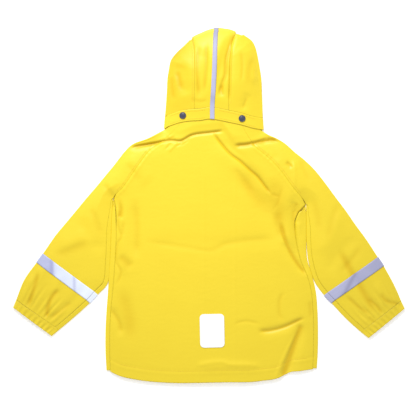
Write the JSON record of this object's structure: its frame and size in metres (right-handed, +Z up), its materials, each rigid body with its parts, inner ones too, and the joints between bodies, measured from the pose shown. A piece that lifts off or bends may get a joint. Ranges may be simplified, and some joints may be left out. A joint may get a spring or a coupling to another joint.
{
  "type": "kids raincoat",
  "caption": "Kids raincoat of coated cloth with hood, raglan sleeves, elastic cuffs and reflective bands, laid flat with its back up.",
  "frame": {"origin": "middle of the outline seen from above, on the surface that the raincoat lies on", "axes": "+Z up, out of its back; +Y towards the hood; +X across the spread sleeves, to the right as seen from above"},
  "size_m": [0.7838, 0.7108, 0.0271],
  "materials": {
    "yellow_cloth": "coated, satin",
    "reflective_tape": "reflective grey",
    "light_patch": "matt, near white",
    "snap_cap": "dark, satin"
  },
  "bodies": {
    "root": {"back": "yellow_cloth", "front_left": "yellow_cloth", "front_right": "yellow_cloth", "front_flap": "yellow_cloth", "sleeve_left": "yellow_cloth", "sleeve_right": "yellow_cloth", "cuff_left": "yellow_cloth", "cuff_right": "yellow_cloth", "collar": "yellow_cloth", "hood_left": "yellow_cloth", "hood_centre": "yellow_cloth", "hood_right": "yellow_cloth", "hood_band": "yellow_cloth", "hood_tape": "reflective_tape", "band_left": "reflective_tape", "band_right": "reflective_tape", "back_patch": "light_patch", "hood_snap_left": "snap_cap", "hood_snap_right": "snap_cap", "flap_snap_1": "snap_cap", "flap_snap_2": "snap_cap", "flap_snap_3": "snap_cap", "flap_snap_4": "snap_cap", "flap_snap_5": "snap_cap"}
  },
  "joints": []
}
